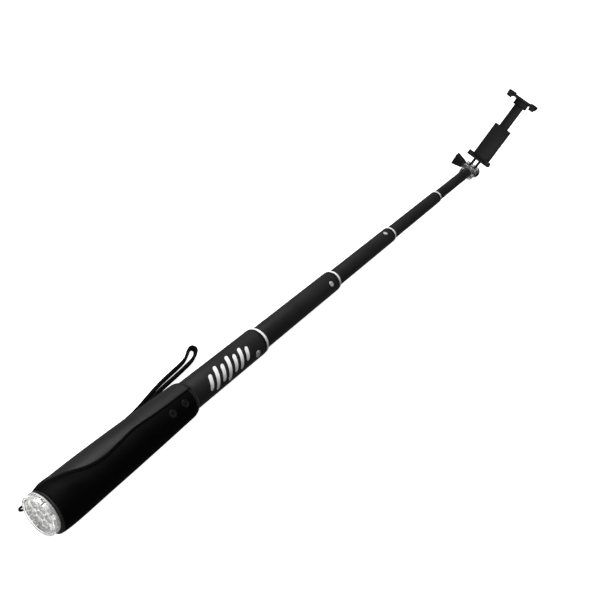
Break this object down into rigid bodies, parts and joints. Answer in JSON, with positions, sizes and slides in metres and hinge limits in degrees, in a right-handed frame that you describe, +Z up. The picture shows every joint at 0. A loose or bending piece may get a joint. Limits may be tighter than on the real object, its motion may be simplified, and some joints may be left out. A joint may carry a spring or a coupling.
{
  "type": "selfie stick",
  "caption": "Hand-held telescopic stick with a tail torch, wrist strap, two control buttons and a tilting sprung clamp that holds a phone.",
  "frame": {"origin": "middle of the underside of the stick as it lies with its clamp standing up, without the wrist strap", "axes": "+X along the tubes from the handle to the phone clamp, +Y to the thumb screw's side, +Z up"},
  "size_m": [0.7098, 0.0519, 0.1105],
  "materials": {
    "black_aluminium": "black anodised, satin",
    "black_plastic": "moulded, fine texture",
    "black_metal": "black oxide",
    "white_plastic": "moulded, semi-gloss",
    "grey_plastic": "moulded",
    "grip_rubber": "soft-touch, matte",
    "panel_rubber": "soft-touch, deep black",
    "key_rubber": "matte key with a light ring",
    "pad_rubber": "matte grey",
    "clear_plastic": "clear moulded plastic, polished",
    "chrome": "vacuum-metallised reflector",
    "rivet_metal": "satin",
    "spring_steel": "drawn",
    "brass": "plated contact",
    "battery_wrap": "shrink sleeve",
    "board_green": "solder mask",
    "board_white": "white solder mask",
    "cable_orange": "polyimide film",
    "strap_nylon": "woven nylon band"
  },
  "bodies": {
    "handle": {"main_tube": "black_aluminium", "grip_sleeve": "grip_rubber", "grip_panel": "panel_rubber", "control_board": "board_green", "switch_dome_1": "spring_steel", "switch_dome_2": "spring_steel", "flex_cable": "cable_orange", "battery": "battery_wrap", "battery_tube": "grey_plastic", "battery_contact": "brass", "strap_ring": "clear_plastic", "strap_loop": "strap_nylon", "strap_crimp": "black_plastic", "wrist_strap": "strap_nylon", "end_cap_1": "black_plastic", "white_ring_1": "white_plastic", "rivet_1": "rivet_metal"},
    "shutter_button": {"shutter_button": "key_rubber"},
    "light_button": {"light_button": "key_rubber"},
    "torch_head": {"torch_bezel": "clear_plastic", "torch_lens": "clear_plastic", "torch_reflector": "chrome", "led_board": "board_white", "torch_housing": "black_plastic", "battery_spring": "spring_steel"},
    "section_2": {"tube_2": "black_aluminium", "guide_bush_2": "black_plastic", "end_cap_2": "black_plastic", "white_ring_2": "white_plastic", "rivet_2": "rivet_metal"},
    "section_3": {"tube_3": "black_aluminium", "guide_bush_3": "black_plastic", "end_cap_3": "black_plastic", "white_ring_3": "white_plastic", "rivet_3": "rivet_metal"},
    "section_4": {"tube_4": "black_aluminium", "guide_bush_4": "black_plastic", "end_cap_4": "black_plastic", "white_ring_4": "white_plastic"},
    "section_5": {"tube_5": "black_aluminium", "guide_bush_5": "black_plastic", "knuckle": "clear_plastic", "clamp_nut": "black_metal"},
    "thumb_screw": {"thumb_knob": "black_plastic", "clamp_bolt": "black_metal"},
    "clamp": {"lower_jaw": "black_plastic", "lower_pad_left": "pad_rubber", "lower_pad_right": "pad_rubber", "rail_cover": "black_plastic", "cover_screw_1": "black_metal", "cover_screw_2": "black_metal", "clamp_spring_1": "spring_steel", "clamp_spring_2": "spring_steel"},
    "upper_jaw": {"upper_jaw": "black_plastic", "upper_pad_left": "pad_rubber", "upper_pad_right": "pad_rubber"}
  },
  "joints": [
    {"name": "section_2_slide", "type": "slide", "parent": "handle", "child": "section_2", "axis": [1, 0, 0], "range_m": [-0.097, 0]},
    {"name": "section_3_slide", "type": "slide", "parent": "section_2", "child": "section_3", "axis": [1, 0, 0], "range_m": [-0.096, 0]},
    {"name": "section_4_slide", "type": "slide", "parent": "section_3", "child": "section_4", "axis": [1, 0, 0], "range_m": [-0.1, 0]},
    {"name": "section_5_slide", "type": "slide", "parent": "section_4", "child": "section_5", "axis": [1, 0, 0], "range_m": [-0.086, 0]},
    {"name": "clamp_tilt", "type": "hinge", "parent": "section_5", "child": "clamp", "pos_m": [0.3078, -0.00235, 0.014], "axis": [0, 1, 0], "range_deg": [-50, 70]},
    {"name": "thumb_screw_turn", "type": "hinge", "parent": "section_5", "child": "thumb_screw", "pos_m": [0.3078, -0.00235, 0.014], "axis": [0, 1, 0], "continuous": true},
    {"name": "upper_jaw_slide", "type": "slide", "parent": "clamp", "child": "upper_jaw", "axis": [0.3007, 0, 0.9537], "range_m": [-0.02, 0.007], "stiffness_N_per_m": 20, "springref_m": -0.03, "deforming": ["clamp_spring_1", "clamp_spring_2"]},
    {"name": "torch_turn", "type": "hinge", "parent": "handle", "child": "torch_head", "pos_m": [-0.3504, -0.00235, 0.014], "axis": [1, 0, 0], "range_deg": [-90, 0]},
    {"name": "shutter_press", "type": "slide", "parent": "handle", "child": "shutter_button", "axis": [0, 0.454, -0.891], "range_m": [0, 0.0003], "stiffness_N_per_m": 400, "springref_m": -0.0005},
    {"name": "light_press", "type": "slide", "parent": "handle", "child": "light_button", "axis": [0, 0.454, -0.891], "range_m": [0, 0.0003], "stiffness_N_per_m": 400, "springref_m": -0.0005}
  ]
}
